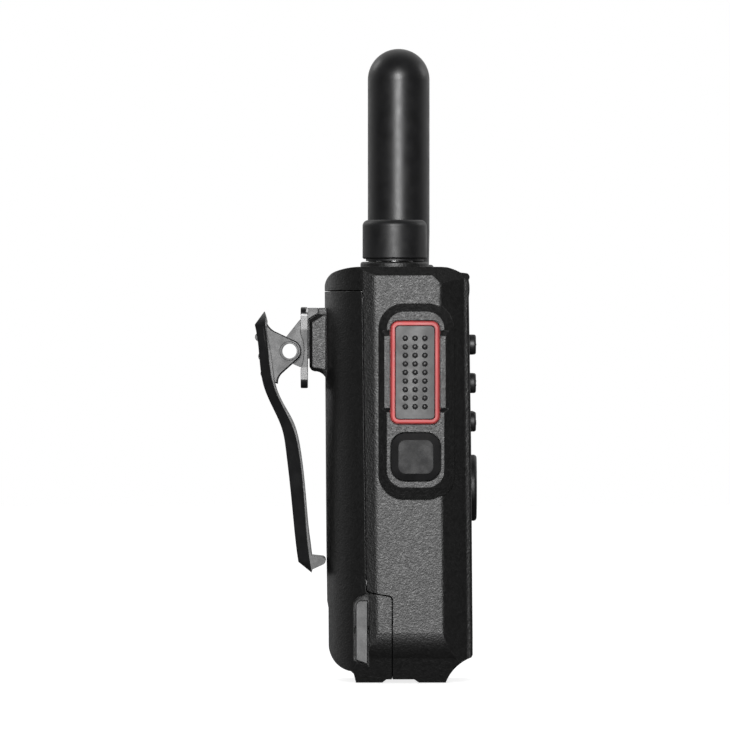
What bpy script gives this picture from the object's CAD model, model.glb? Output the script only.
"""Looks of a portable two-way radio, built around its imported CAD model. Metres; +Z up, -Y front."""
import math

import bmesh
import bpy
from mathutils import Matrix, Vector


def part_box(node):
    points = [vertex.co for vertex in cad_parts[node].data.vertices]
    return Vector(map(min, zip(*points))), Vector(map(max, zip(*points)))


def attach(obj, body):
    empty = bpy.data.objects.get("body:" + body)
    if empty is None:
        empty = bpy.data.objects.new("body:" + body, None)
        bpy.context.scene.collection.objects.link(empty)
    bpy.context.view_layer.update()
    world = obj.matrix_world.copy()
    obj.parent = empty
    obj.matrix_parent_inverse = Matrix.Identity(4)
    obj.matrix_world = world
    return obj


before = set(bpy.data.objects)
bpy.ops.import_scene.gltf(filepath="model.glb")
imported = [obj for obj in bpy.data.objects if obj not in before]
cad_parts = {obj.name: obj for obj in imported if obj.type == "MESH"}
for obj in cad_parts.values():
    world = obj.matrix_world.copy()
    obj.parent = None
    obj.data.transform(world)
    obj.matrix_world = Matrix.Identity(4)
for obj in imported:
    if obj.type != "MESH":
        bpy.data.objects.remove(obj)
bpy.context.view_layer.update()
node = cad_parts
MM = 0.001

# One band of the Wave texture is this wide when the texture's scale is 1.
WAVE_BAND = 0.32

# Black of the knob, keys and clip.
JET = (0.008, 0.008, 0.0085)


# ---------------------------------------------------------------- camera, floor and light
def set_camera():
    """A long lens level with the radio's middle, looking at its push-to-talk side."""
    distance = 2.4
    view_width = 182.5 * MM
    framed_plane_x = -10 * MM        # the view is view_width across in this plane
    view_centre_y = 8.4 * MM
    view_centre_z = 79.0 * MM
    data = bpy.data.cameras.new("camera")
    data.sensor_width = 36.0
    data.lens = data.sensor_width * distance / view_width
    data.clip_start = 0.05
    camera = bpy.data.objects.new("camera", data)
    camera.location = (framed_plane_x - distance, view_centre_y, view_centre_z)
    camera.rotation_euler = (math.radians(90), 0, math.radians(-90))
    bpy.context.scene.collection.objects.link(camera)
    bpy.context.scene.camera = camera


def area_light(name, place, target, size, power):
    """Rectangular softbox, aimed at target."""
    data = bpy.data.lights.new(name, "AREA")
    data.shape = "RECTANGLE"
    data.size, data.size_y = size
    data.energy = power
    light = bpy.data.objects.new(name, data)
    light.location = place
    aim = Vector(target) - Vector(place)
    light.rotation_euler = aim.to_track_quat("-Z", "Y").to_euler()
    bpy.context.scene.collection.objects.link(light)


def set_lights():
    middle = (0, 0, 0.075)
    top_of_body = (0, 0, 0.1)
    area_light("key_softbox", place=(-2.9, 0.10, 0.62), target=middle, size=(0.8, 1.3), power=86)
    area_light("upper_softbox", place=(-0.9, 0.02, 0.36), target=top_of_body, size=(0.3, 0.3), power=2.6)
    area_light("front_softbox", place=(0.9, -1.9, 0.9), target=middle, size=(0.8, 0.8), power=5)
    area_light("rear_softbox", place=(1.1, 1.6, 1.3), target=middle, size=(0.8, 0.8), power=5)


def seen_by_camera(tree, seen, unseen):
    """Mixes two shader outputs: one for what the camera sees directly, one for light and mirrors."""
    path = tree.nodes.new("ShaderNodeLightPath")
    mix = tree.nodes.new("ShaderNodeMixShader")
    tree.links.new(path.outputs["Is Camera Ray"], mix.inputs["Fac"])
    tree.links.new(unseen, mix.inputs[1])
    tree.links.new(seen, mix.inputs[2])
    return mix.outputs["Shader"]


def set_ramp(ramp, low_position, low, high_position, high):
    """Two-stop colour ramp from low to high."""
    first, last = ramp.color_ramp.elements
    first.position = low_position
    first.color = (*low, 1)
    last.position = high_position
    last.color = (*high, 1)


def set_world():
    """White studio: a bright wall on the far side, and a dim room on the camera's side."""
    room_grey = (0.013, 0.013, 0.013)
    wall_grey = (0.75, 0.75, 0.75)
    room_until = 0.42                # share of the way from the camera's side to the far side
    wall_from = 0.75
    white = (1, 1, 1, 1)
    world = bpy.data.worlds.new("studio")
    bpy.context.scene.world = world
    world.use_nodes = True
    tree = world.node_tree
    tree.nodes.clear()
    place = tree.nodes.new("ShaderNodeTexCoord")
    split = tree.nodes.new("ShaderNodeSeparateXYZ")
    ramp = tree.nodes.new("ShaderNodeValToRGB")
    set_ramp(ramp, room_until, room_grey, wall_from, wall_grey)
    half = tree.nodes.new("ShaderNodeMapRange")
    half.inputs["From Min"].default_value = -1.0
    room = tree.nodes.new("ShaderNodeBackground")
    wall = tree.nodes.new("ShaderNodeBackground")
    wall.inputs["Color"].default_value = white
    output = tree.nodes.new("ShaderNodeOutputWorld")
    tree.links.new(place.outputs["Generated"], split.inputs["Vector"])
    tree.links.new(split.outputs["X"], half.inputs["Value"])
    tree.links.new(half.outputs["Result"], ramp.inputs["Fac"])
    tree.links.new(ramp.outputs["Color"], room.inputs["Color"])
    surface = seen_by_camera(tree, wall.outputs["Background"], room.outputs["Background"])
    tree.links.new(surface, output.inputs["Surface"])


def add_floor():
    """Plain pale floor, level with the feet."""
    floor_radius = 3.0
    gap_under_feet = 0.2 * MM
    grey = 0.55
    glow_seen = 0.8
    glow_unseen = 0.04
    mesh = bpy.data.meshes.new("floor")
    shape = bmesh.new()
    bmesh.ops.create_circle(shape, cap_ends=True, segments=96, radius=floor_radius)
    shape.to_mesh(mesh)
    shape.free()
    floor = bpy.data.objects.new("floor", mesh)
    floor.location.z = -gap_under_feet
    bpy.context.scene.collection.objects.link(floor)
    material = new_material("pale_floor", (grey, grey, grey), 0.9)
    tree = material.node_tree
    glow = tree.nodes.new("ShaderNodeEmission")
    glow.inputs["Strength"].default_value = glow_seen
    bright = tree.nodes.new("ShaderNodeAddShader")
    tree.links.new(tree.nodes["Principled BSDF"].outputs["BSDF"], bright.inputs[0])
    tree.links.new(glow.outputs["Emission"], bright.inputs[1])
    dim = tree.nodes.new("ShaderNodeEmission")
    dim.inputs["Strength"].default_value = glow_unseen
    surface = seen_by_camera(tree, bright.outputs["Shader"], dim.outputs["Emission"])
    tree.links.new(surface, tree.nodes["Material Output"].inputs["Surface"])
    mesh.materials.append(material)


# ---------------------------------------------------------------- shader nodes
def new_material(name, colour, roughness, **sockets):
    """A Principled material; uniform values sit on the shader's own sockets."""
    material = bpy.data.materials.new(name)
    material.use_nodes = True
    shader = material.node_tree.nodes["Principled BSDF"]
    shader.inputs["Base Color"].default_value = (*colour, 1)
    shader.inputs["Roughness"].default_value = roughness
    for socket, value in sockets.items():
        shader.inputs[socket.replace("_", " ")].default_value = value
    return material


def map_range(tree, value, from_limits, to_limits=(0.0, 1.0)):
    """Maps value from one pair of limits to another, and clamps it there."""
    mapped = tree.nodes.new("ShaderNodeMapRange")
    mapped.inputs["From Min"].default_value = from_limits[0]
    mapped.inputs["From Max"].default_value = from_limits[1]
    mapped.inputs["To Min"].default_value = to_limits[0]
    mapped.inputs["To Max"].default_value = to_limits[1]
    tree.links.new(value, mapped.inputs["Value"])
    return mapped.outputs["Result"]


def combine(tree, operation, first, second):
    """Result of one Math node on two values."""
    result = tree.nodes.new("ShaderNodeMath")
    result.operation = operation
    tree.links.new(first, result.inputs[0])
    tree.links.new(second, result.inputs[1])
    return result.outputs["Value"]


def object_noise(tree, grain_mm, detail=2.0, roughness=0.5):
    """Noise whose features are about grain_mm across, fixed to the piece."""
    place = tree.nodes.new("ShaderNodeTexCoord")
    noise = tree.nodes.new("ShaderNodeTexNoise")
    noise.inputs["Scale"].default_value = 1 / (grain_mm * MM)
    noise.inputs["Detail"].default_value = detail
    noise.inputs["Roughness"].default_value = roughness
    tree.links.new(place.outputs["Object"], noise.inputs["Vector"])
    return noise.outputs["Fac"]


def soft_edges(material, radius_mm):
    """Shades sharp edges as if they had a small radius."""
    bevel = material.node_tree.nodes.new("ShaderNodeBevel")
    bevel.name = "soft_edges"
    bevel.samples = 4
    bevel.inputs["Radius"].default_value = radius_mm * MM
    return bevel.outputs["Normal"]


def rub_edges(material, worn_colour, amount):
    """Rubs the edges of a piece lighter, in patches, where hands and pockets touch it."""
    edge_limits = (0.995, 0.8)       # agreement of the softened and the true normal
    patch_limits = (0.42, 0.66)
    patch_mm = 3.5
    tree = material.node_tree
    shader = tree.nodes["Principled BSDF"]
    shape = tree.nodes.new("ShaderNodeNewGeometry")
    turn = tree.nodes.new("ShaderNodeVectorMath")
    turn.operation = "DOT_PRODUCT"
    tree.links.new(tree.nodes["soft_edges"].outputs["Normal"], turn.inputs[0])
    tree.links.new(shape.outputs["Normal"], turn.inputs[1])
    edge = map_range(tree, turn.outputs["Value"], edge_limits)
    noise = object_noise(tree, patch_mm, detail=4.0, roughness=0.65)
    patches = map_range(tree, noise, patch_limits, (0.0, amount))
    mix = tree.nodes.new("ShaderNodeMix")
    mix.data_type = "RGBA"
    tree.links.new(combine(tree, "MULTIPLY", edge, patches), mix.inputs["Factor"])
    colour = shader.inputs["Base Color"]
    tree.links.new(colour.links[0].from_socket, mix.inputs["A"])
    mix.inputs["B"].default_value = (*worn_colour, 1)
    tree.links.new(mix.outputs["Result"], colour)


def add_bump(material, layers, edge_mm=0.0):
    """Bump from one or more noise layers, each (grain in mm, height in mm)."""
    tree = material.node_tree
    shader = tree.nodes["Principled BSDF"]
    normal = soft_edges(material, edge_mm) if edge_mm else None
    for grain_mm, height_mm in layers:
        bump = tree.nodes.new("ShaderNodeBump")
        bump.inputs["Strength"].default_value = 1.0
        bump.inputs["Distance"].default_value = height_mm * MM
        tree.links.new(object_noise(tree, grain_mm), bump.inputs["Height"])
        if normal is not None:
            tree.links.new(normal, bump.inputs["Normal"])
        normal = bump.outputs["Normal"]
    tree.links.new(normal, shader.inputs["Normal"])


def add_relief(material, height, depth_mm):
    """Bump from one height pattern."""
    tree = material.node_tree
    bump = tree.nodes.new("ShaderNodeBump")
    bump.inputs["Distance"].default_value = depth_mm * MM
    tree.links.new(height, bump.inputs["Height"])
    tree.links.new(bump.outputs["Normal"], tree.nodes["Principled BSDF"].inputs["Normal"])


def vary(material, socket, low, high, grain_mm, detail=3.0):
    """Drives a colour or value socket between two limits with a noise."""
    noise_limits = (0.35, 0.65)
    tree = material.node_tree
    shader = tree.nodes["Principled BSDF"]
    noise = object_noise(tree, grain_mm, detail, roughness=0.6)
    if isinstance(low, tuple):
        ramp = tree.nodes.new("ShaderNodeValToRGB")
        set_ramp(ramp, noise_limits[0], low, noise_limits[1], high)
        tree.links.new(noise, ramp.inputs["Fac"])
        tree.links.new(ramp.outputs["Color"], shader.inputs[socket])
        return
    spread = map_range(tree, noise, noise_limits, (low, high))
    tree.links.new(spread, shader.inputs[socket])


# ---------------------------------------------------------------- materials
def eroded_plastic(name, grain_mm=0.42, height_mm=0.095, colour=0.004):
    """Black plastic from a spark-eroded mould: a fine pebble grain that glints."""
    material = new_material(name, (colour,) * 3, 0.42)
    vary(material, "Base Color", (colour * 0.85,) * 3, (colour * 1.2,) * 3, grain_mm=2.5)
    vary(material, "Roughness", 0.38, 0.5, grain_mm=0.8)
    coarse_layer = (grain_mm * 3.1, height_mm * 0.5)
    add_bump(material, [(grain_mm, height_mm), coarse_layer], edge_mm=0.25)
    rub_edges(material, (0.04, 0.04, 0.04), 0.6)
    return material


def satin(name, colour, roughness, grain_mm=0.3, height_mm=0.004, edge_mm=0.2, gloss=0.5):
    """Smooth moulded plastic or rubber with a faint unevenness."""
    material = new_material(name, colour, roughness, Specular_IOR_Level=gloss)
    dark = tuple(c * 0.88 for c in colour)
    light = tuple(c * 1.1 for c in colour)
    vary(material, "Base Color", dark, light, grain_mm=6.0)
    vary(material, "Roughness", roughness * 0.9, roughness * 1.12, grain_mm=3.0)
    add_bump(material, [(grain_mm, height_mm)], edge_mm)
    if edge_mm:
        rub_edges(material, tuple(c * 1.6 + 0.02 for c in colour), 0.6)
    return material


def metal(name, colour, roughness, grain_mm=0.15, height_mm=0.003):
    """Bare metal, a little uneven in colour and polish."""
    material = new_material(name, colour, roughness, Metallic=1.0)
    dark = tuple(c * 0.85 for c in colour)
    vary(material, "Base Color", dark, colour, grain_mm=2.0)
    vary(material, "Roughness", roughness * 0.85, roughness * 1.2, grain_mm=1.2)
    add_bump(material, [(grain_mm, height_mm)], edge_mm=0.12)
    return material


def woven(name, colour, thread_mm):
    """Plain weave of two crossed sets of threads."""
    material = new_material(name, colour, 0.8)
    tree = material.node_tree
    place = tree.nodes.new("ShaderNodeTexCoord")
    threads = []
    for angle in (0, 90):
        turn = tree.nodes.new("ShaderNodeMapping")
        turn.inputs["Rotation"].default_value = (0, math.radians(angle), 0)
        wave = tree.nodes.new("ShaderNodeTexWave")
        wave.inputs["Scale"].default_value = WAVE_BAND / (thread_mm * MM)
        tree.links.new(place.outputs["Object"], turn.inputs["Vector"])
        tree.links.new(turn.outputs["Vector"], wave.inputs["Vector"])
        threads.append(wave.outputs["Fac"])
    add_relief(material, combine(tree, "MAXIMUM", *threads), thread_mm * 0.4)
    return material


def step(tree, value_m, low_mm, high_mm):
    """0 below low, 1 above high, or the other way round where low is the greater."""
    return map_range(tree, value_m, (low_mm * MM, high_mm * MM))


def polish_plate(material, roughness):
    """Makes the clip's plate smoother than the ears and wings moulded over its middle."""
    wings_top_z = 87.7
    wings_bottom_z = 78.6
    plate_outer_y = 24.7
    plate_inner_y = 22.6
    tree = material.node_tree
    place = tree.nodes.new("ShaderNodeTexCoord")
    split = tree.nodes.new("ShaderNodeSeparateXYZ")
    tree.links.new(place.outputs["Object"], split.inputs["Vector"])
    above_wings = step(tree, split.outputs["Z"], wings_top_z, wings_top_z + 0.3)
    below_wings = step(tree, split.outputs["Z"], wings_bottom_z, wings_bottom_z - 0.3)
    outer_face = step(tree, split.outputs["Y"], plate_outer_y, plate_outer_y - 0.1)
    inner_face = step(tree, split.outputs["Y"], plate_inner_y, plate_inner_y + 0.1)
    zone = combine(tree, "MAXIMUM", above_wings, below_wings)
    zone = combine(tree, "MULTIPLY", zone, outer_face)
    zone = combine(tree, "MULTIPLY", zone, inner_face)
    mix = tree.nodes.new("ShaderNodeMix")
    rough = tree.nodes["Principled BSDF"].inputs["Roughness"]
    tree.links.new(zone, mix.inputs["Factor"])
    tree.links.new(rough.links[0].from_socket, mix.inputs["A"])
    mix.inputs["B"].default_value = roughness
    tree.links.new(mix.outputs["Result"], rough)


def circuit_board(name):
    """Green solder mask over slightly raised tracks."""
    material = new_material(name, (0.01, 0.09, 0.035), 0.3)
    vary(material, "Base Color", (0.008, 0.075, 0.03), (0.015, 0.13, 0.05), grain_mm=1.6, detail=1.0)
    add_bump(material, [(1.2, 0.02)])
    return material


def lens_glass():
    """Clear display lens with faint smears in its polish."""
    material = new_material("display_lens", (0.86, 0.88, 0.88), 0.04, Transmission_Weight=1.0, IOR=1.49)
    vary(material, "Roughness", 0.02, 0.09, grain_mm=5.0, detail=4.0)
    add_bump(material, [(9.0, 0.004)])
    return material


def display_panel():
    """Switched-off liquid crystal panel: dark grey-green, with a fine square grid of cells."""
    cell_mm = 0.3
    material = new_material("display_panel", (0.03, 0.036, 0.03), 0.3)
    vary(material, "Base Color", (0.027, 0.033, 0.028), (0.034, 0.04, 0.033), grain_mm=8.0)
    tree = material.node_tree
    place = tree.nodes.new("ShaderNodeTexCoord")
    bands = []
    for axis in ("X", "Z"):
        wave = tree.nodes.new("ShaderNodeTexWave")
        wave.bands_direction = axis
        wave.inputs["Scale"].default_value = WAVE_BAND / (cell_mm * MM)
        tree.links.new(place.outputs["Object"], wave.inputs["Vector"])
        bands.append(wave.outputs["Fac"])
    add_relief(material, combine(tree, "MINIMUM", *bands), 0.01)
    return material


def paint(names, material):
    """Gives the named CAD nodes one material."""
    for name in names:
        slots = node[name].data.materials
        slots.clear()
        slots.append(material)


def paint_casing():
    """The casing, and the keys, clip, antenna and other pieces on its outside."""
    paint(["front_housing", "battery_shell", "battery_inner_cover"], eroded_plastic("body_plastic"))
    latch = satin("latch_plastic", (0.012, 0.012, 0.0125), 0.4, grain_mm=0.2, height_mm=0.01)
    paint(["latch_left", "latch_right"], latch)
    rubber_black = (0.009, 0.009, 0.0095)
    antenna = satin("antenna_rubber", rubber_black, 0.37, grain_mm=0.35, height_mm=0.006, gloss=0.43)
    paint(["antenna_sheath"], antenna)
    paint(["volume_knob"], satin("knob_plastic", JET, 0.45, gloss=0.42))
    paint(["ptt_frame"], satin("coral_plastic", (0.45, 0.06, 0.06), 0.42, gloss=0.36))
    paint(["ptt_pad"], satin("pad_rubber", (0.014, 0.014, 0.0145), 0.42, grain_mm=0.2, height_mm=0.006))
    key_nodes = [name for name in node if name.endswith("_key")]
    keys = satin("key_rubber", JET, 0.47, grain_mm=0.35, height_mm=0.012)
    paint(key_nodes + ["accessory_cover"], keys)
    square_key = satin("function_key_rubber", JET, 0.6, grain_mm=0.4, height_mm=0.02, gloss=0.43)
    paint(["function_key"], square_key)
    paint(["clip_lever"], satin("clip_plastic", JET, 0.4, grain_mm=0.3, height_mm=0.006))
    clip_plastic = satin("clip_base_plastic", (0.01, 0.01, 0.0105), 0.4)
    polish_plate(clip_plastic, 0.27)
    paint(["clip_base"], clip_plastic)
    blackened = satin("blackened_steel", JET, 0.4, grain_mm=0.3, height_mm=0.004, edge_mm=0.05)
    paint(["clip_pivot"], blackened)
    paint(["display_window"], lens_glass())
    paint(["display_module"], display_panel())
    paint(["status_light_guide"], satin("light_guide", (0.55, 0.55, 0.52), 0.25))
    paint(["speaker_cloth"], woven("speaker_cloth", (0.012, 0.012, 0.012), 0.35))


def paint_inside():
    """The springs, and the pieces inside the casing."""
    steel = metal("spring_steel", (0.55, 0.55, 0.56), 0.25)
    paint(["clip_spring", "latch_spring_left", "latch_spring_right"], steel)
    stamped = metal("stamped_steel", (0.45, 0.45, 0.45), 0.35)
    paint(["speaker_frame", "speaker_magnet", "shield_can", "rotary_encoder", "microphone"], stamped)
    paint(["speaker_cone"], satin("paper_cone", (0.03, 0.03, 0.03), 0.7, grain_mm=0.3, height_mm=0.02))
    boards = ["main_board", "control_board", "side_switch_board", "protection_board"]
    paint(boards, circuit_board("solder_mask"))
    moulded = satin("moulded_black", (0.015, 0.015, 0.015), 0.5, grain_mm=0.2, height_mm=0.006)
    paint(["board_chips", "side_switches", "speaker_jack", "microphone_jack", "contact_holder"], moulded)
    seal = satin("seal_rubber", (0.02, 0.02, 0.02), 0.6)
    paint(["chassis_seal", "key_dome_sheet", "microphone_boot", "battery_foam"], seal)
    alloy = metal("cast_alloy", (0.5, 0.5, 0.51), 0.45, grain_mm=0.6, height_mm=0.02)
    paint(["rear_chassis", "knob_shaft"], alloy)
    paint(["chassis_screws"], metal("screw_steel", (0.3, 0.3, 0.31), 0.3))
    brass = metal("turned_brass", (0.68, 0.48, 0.2), 0.25)
    paint(["encoder_nut", "antenna_insert", "antenna_coil"], brass)
    gold = metal("gold_plate", (0.85, 0.62, 0.25), 0.2)
    paint(["contact_leaves", "battery_contact_pads", "charging_contacts"], gold)
    paint(["antenna_core"], satin("core_nylon", (0.6, 0.6, 0.56), 0.45))
    paint(["battery_cell"], satin("cell_wrap", (0.05, 0.12, 0.35), 0.3))


# ---------------------------------------------------------------- raised marks and printing
def add_plates(name, outlines, thickness, material):
    """Piece made of flat outlines (points in mm), each extruded by thickness (a vector in mm)."""
    mesh = bpy.data.meshes.new(name)
    shape = bmesh.new()
    for outline in outlines:
        base = [shape.verts.new([measure * MM for measure in point]) for point in outline]
        face = shape.faces.new(base)
        grown = bmesh.ops.extrude_face_region(shape, geom=[face])["geom"]
        far_side = [item for item in grown if isinstance(item, bmesh.types.BMVert)]
        bmesh.ops.translate(shape, verts=far_side, vec=[measure * MM for measure in thickness])
    bmesh.ops.recalc_face_normals(shape, faces=shape.faces)
    shape.to_mesh(mesh)
    shape.free()
    mesh.materials.append(material)
    piece = bpy.data.objects.new(name, mesh)
    bpy.context.scene.collection.objects.link(piece)
    return piece


def raised(name, outlines, middle, rise, material, body):
    """Flat shapes drawn about middle in X-Z (mm), standing out towards the front, with softened rims."""
    x, y, z = middle
    placed = [[(x + across, y, z + up) for across, up in outline] for outline in outlines]
    piece = add_plates(name, placed, (0, -rise, 0), material)
    soften = piece.modifiers.new("soften", "BEVEL")
    soften.width = rise * 0.4 * MM
    soften.segments = 2
    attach(piece, body)


def disc(radius, count=28):
    """Round outline."""
    angles = [2 * math.pi * index / count for index in range(count)]
    return [(radius * math.cos(a), radius * math.sin(a)) for a in angles]


def bar(x, z, wide, tall):
    """Bar with rounded ends, lying along its longer side."""
    steps = 8
    radius = min(wide, tall) / 2
    reach = max(wide, tall) / 2 - radius
    points = []
    for end in (1, -1):
        for index in range(steps + 1):
            angle = -math.pi / 2 + math.pi * index / steps
            along = end * (reach + radius * math.cos(angle))
            across = end * radius * math.sin(angle)
            points.append((x + along, z + across) if wide > tall else (x - across, z + along))
    return points


def triangle(x, z, size, turn):
    """Triangle with clipped corners, pointing up and then turned by quarter turns."""
    corners = [(-0.86, -0.38), (-0.74, -0.5), (0.74, -0.5), (0.86, -0.38), (0.12, 0.92), (-0.12, 0.92)]
    points = []
    for across, up in corners:
        for _ in range(turn):
            across, up = -up, across
        points.append((x + across * size, z + up * size))
    return points


def front_of(name, root):
    """Middle of a node's front, in mm, set back by root."""
    low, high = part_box(name)
    return (low[0] + high[0]) / 2 / MM, low[1] / MM + root, (low[2] + high[2]) / 2 / MM


def add_key_marks():
    """Plain shapes that tell the keys apart by touch."""
    mark_rise = 0.12
    mark_root = 0.02                 # how far a mark is set into the key's face
    arrow_reach = 6.0
    arrow_size = 0.72
    arrow_rise = 0.2
    arrow_root = 0.5                 # the round key's face lies behind its rim
    ink = satin("mark_paint", (0.42, 0.42, 0.41), 0.5, grain_mm=0.12, height_mm=0.004, edge_mm=0.0)
    arrows = [
        triangle(0, arrow_reach, arrow_size, 0),
        triangle(-arrow_reach, 0, arrow_size, 1),
        triangle(0, -arrow_reach, arrow_size, 2),
        triangle(arrow_reach, 0, arrow_size, 3),
    ]
    face = front_of("round_key", arrow_root)
    raised("round_key_marks", arrows, face, arrow_rise, ink, "round_key")
    marks = {
        "centre_key": [disc(0.8)],
        "upper_left_key": [bar(0, 0, 2.0, 0.5)],
        "middle_left_key": [bar(0, 0.5, 2.0, 0.42), bar(0, -0.5, 2.0, 0.42)],
        "lower_left_key": [triangle(0, -0.1, 0.85, 2)],
        "upper_right_key": [disc(0.62)],
        "middle_right_key": [bar(0, 0, 0.5, 2.0)],
        "lower_right_key": [triangle(0, -0.2, 0.85, 0)],
    }
    for key, outlines in marks.items():
        face = front_of(key, mark_root)
        raised(key + "_mark", outlines, face, mark_rise, ink, key)


def add_display_segments():
    """Unlit segments of the display: level bars, a battery-shaped block and rows of plain blocks."""
    level_bars = 4
    level_start = (-8.6, 8.395)
    level_pitch = 0.9
    level_wide = 0.5
    lowest_level = 0.71
    level_step = 0.45
    battery_place = (7.4, 9.6)
    battery_size = (3.4, 1.7)
    rows = 3
    columns = 6
    first_block = (-7.5, 3.6)
    column_pitch = 3.0
    row_pitch = 4.2
    block_size = (1.9, 2.6)
    segment_root = 0.02
    segment_rise = 0.06
    dark = satin("segment_ink", (0.012, 0.014, 0.012), 0.35, grain_mm=0.3, height_mm=0.001, edge_mm=0.0)
    segments = []
    for index in range(level_bars):
        tall = lowest_level + level_step * index
        x = level_start[0] + index * level_pitch
        segments.append(bar(x, level_start[1] + tall / 2, level_wide, tall))
    segments.append(bar(*battery_place, *battery_size))
    for row in range(rows):
        for column in range(columns):
            x = first_block[0] + column * column_pitch
            z = first_block[1] - row * row_pitch
            segments.append(bar(x, z, *block_size))
    face = front_of("display_module", segment_root)
    raised("display_segments", segments, face, segment_rise, dark, "radio_body")


def add_knob_line():
    """White paint in the bottom of the knob's pointer groove."""
    groove_depth = 0.7
    line_reach = 4.6                 # from the knob's axis to the middle of the line
    line_wide = 0.56
    line_long = 3.0
    paint_thick = 0.08
    low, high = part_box("volume_knob")
    x = (low[0] + high[0]) / 2 / MM
    y = (low[1] + high[1]) / 2 / MM
    paint_top = high[2] / MM - groove_depth + paint_thick
    white = satin("pointer_paint", (0.7, 0.7, 0.68), 0.5, grain_mm=0.15, height_mm=0.004, edge_mm=0.0)
    line_y = y - line_reach
    outline = [(x + across, line_y + along, paint_top) for across, along in bar(0, 0, line_wide, line_long)]
    line = add_plates("pointer_line", [outline], (0, 0, -paint_thick), white)
    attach(line, "volume_knob")


# ---------------------------------------------------------------- put it together
set_camera()
set_lights()
set_world()
add_floor()
paint_casing()
paint_inside()
add_key_marks()
add_display_segments()
add_knob_line()

scene = bpy.context.scene
scene.view_settings.view_transform = "Standard"
